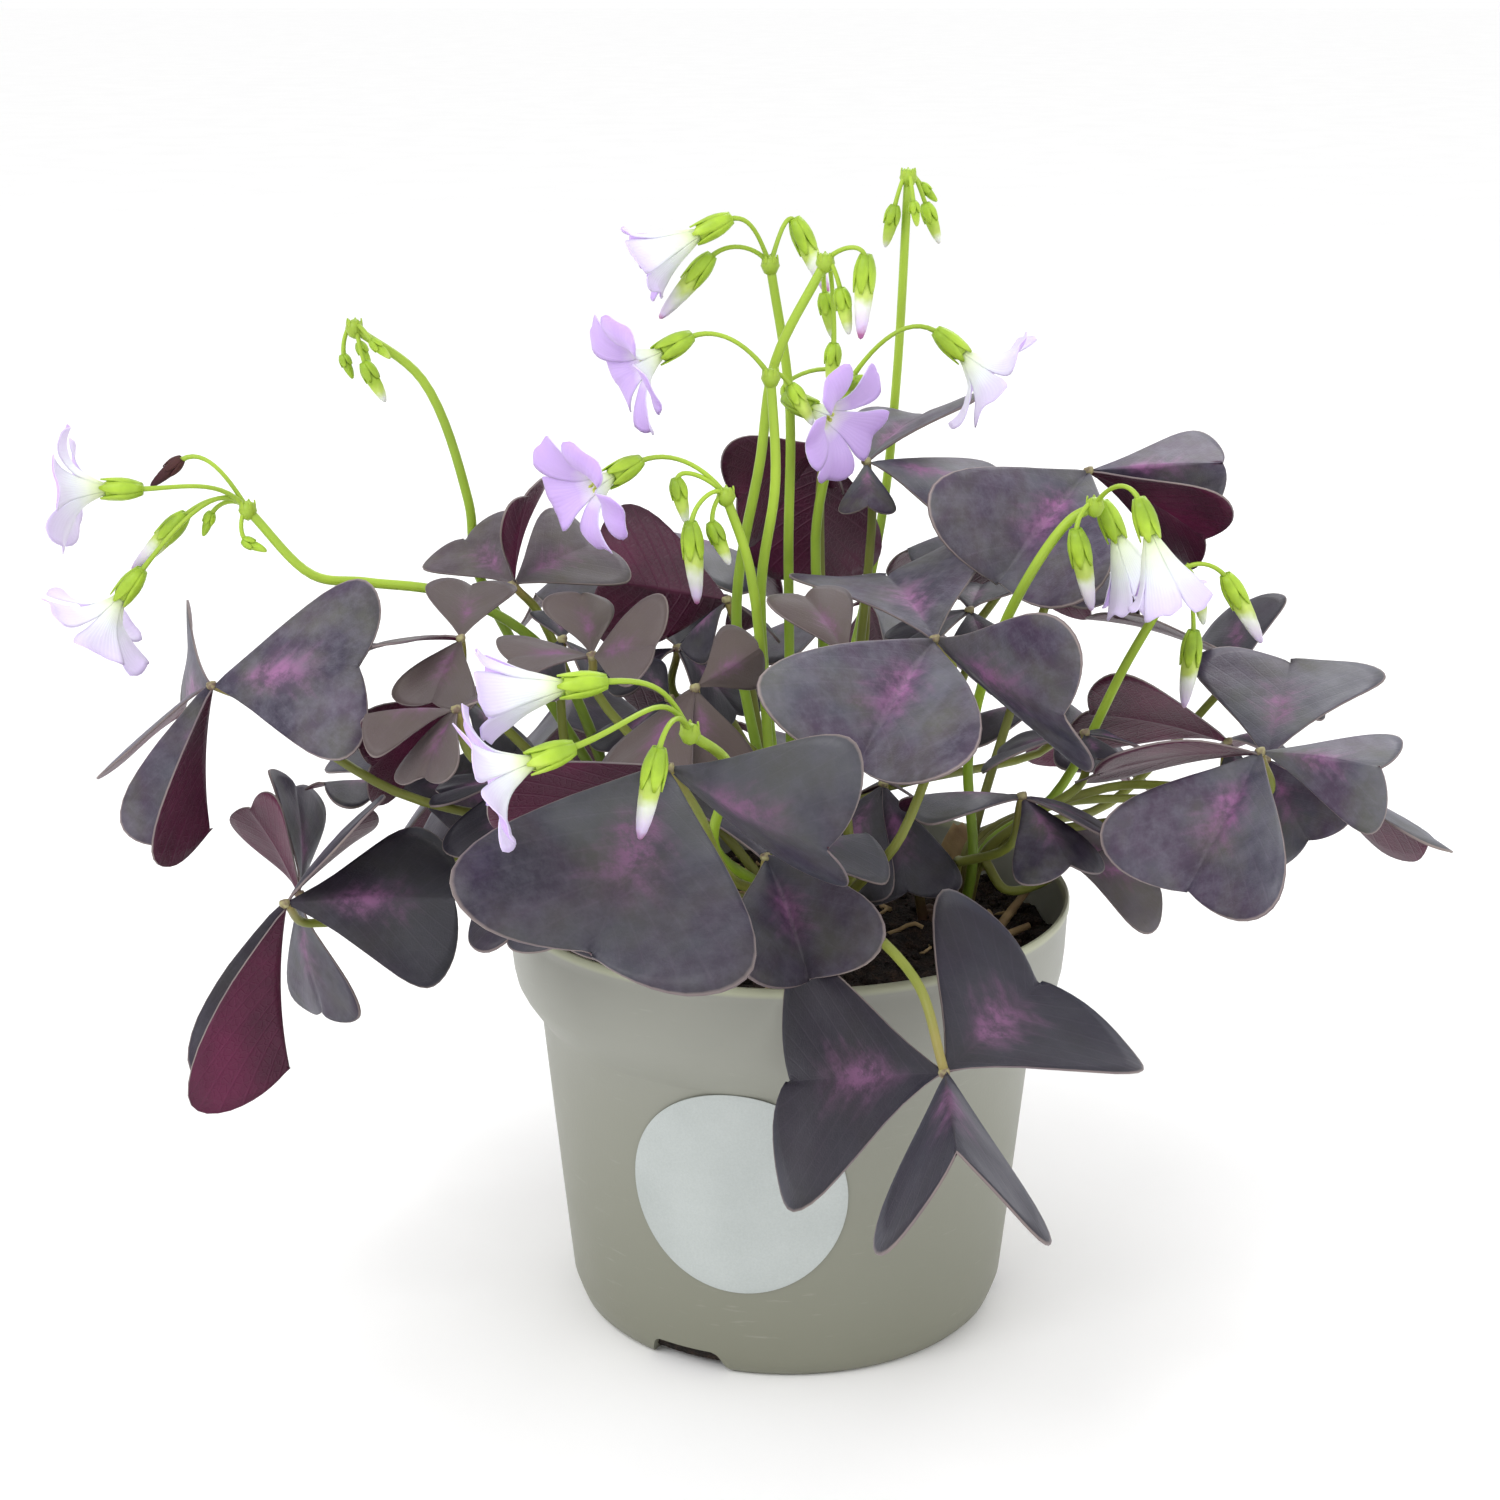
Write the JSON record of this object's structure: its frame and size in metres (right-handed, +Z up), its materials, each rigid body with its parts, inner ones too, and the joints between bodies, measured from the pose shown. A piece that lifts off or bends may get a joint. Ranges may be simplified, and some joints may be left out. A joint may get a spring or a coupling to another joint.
{
  "type": "purple shamrock",
  "caption": "Potted purple shamrock with leaves of three notched leaflets on slim stalks and nodding umbels of lilac flowers, rooted in a round nursery pot",
  "frame": {"origin": "Centre of the pot's flat foot, on the surface it stands on.", "axes": "+Z up along the pot's axis; -Y is the side with the round label; +X is to the right seen from the front."},
  "size_m": [0.2917, 0.2518, 0.2384],
  "materials": {
    "pot_plastic": "satin taupe grey",
    "label_paper": "matt, bare",
    "soil": "crumbly peat",
    "stalk": "satin lime green",
    "leaf": "satin dark purple",
    "petal": "satin lilac"
  },
  "bodies": {
    "root": {"crown_back": "stalk", "crown_front": "stalk", "crown_left": "stalk", "crown_right": "stalk", "flower_back_1": "petal", "flower_back_2": "petal", "flower_fan_1": "petal", "flower_front_1": "petal", "flower_front_2": "petal", "flower_left_1": "petal", "flower_left_2": "petal", "flower_mid_1": "petal", "flower_pair_1": "petal", "flower_right_1": "petal", "flower_right_2": "petal", "label": "label_paper", "leaf_back_a": "leaf", "leaf_back_b": "leaf", "leaf_back_c": "leaf", "leaf_back_centre": "leaf", "leaf_back_d": "leaf", "leaf_back_e": "leaf", "leaf_back_f": "leaf", "leaf_back_g": "leaf", "leaf_back_left_top": "leaf", "leaf_back_top": "leaf", "leaf_front_broad": "leaf", "leaf_front_drooping": "leaf", "leaf_front_inner": "leaf", "leaf_front_low": "leaf", "leaf_left_high": "leaf", "leaf_left_inner": "leaf", "leaf_left_low": "leaf", "leaf_left_shaded": "leaf", "leaf_left_top": "leaf", "leaf_left_under": "leaf", "leaf_middle_high": "leaf", "leaf_middle_low": "leaf", "leaf_right_back": "leaf", "leaf_right_behind": "leaf", "leaf_right_broad": "leaf", "leaf_right_inner": "leaf", "leaf_right_low": "leaf", "leaf_right_top": "leaf", "leaf_right_under": "leaf", "leaf_shade_back": "leaf", "leaf_shade_front": "leaf", "leaf_shade_left": "leaf", "leaf_shade_right": "leaf", "leaf_shade_top": "leaf", "leaf_shade_under": "leaf", "leaf_young_centre": "leaf", "leaf_young_left": "leaf", "leaf_young_middle": "leaf", "leaf_young_right": "leaf", "leaf_young_top_left": "leaf", "pot": "pot_plastic", "soil": "soil"}
  },
  "joints": []
}
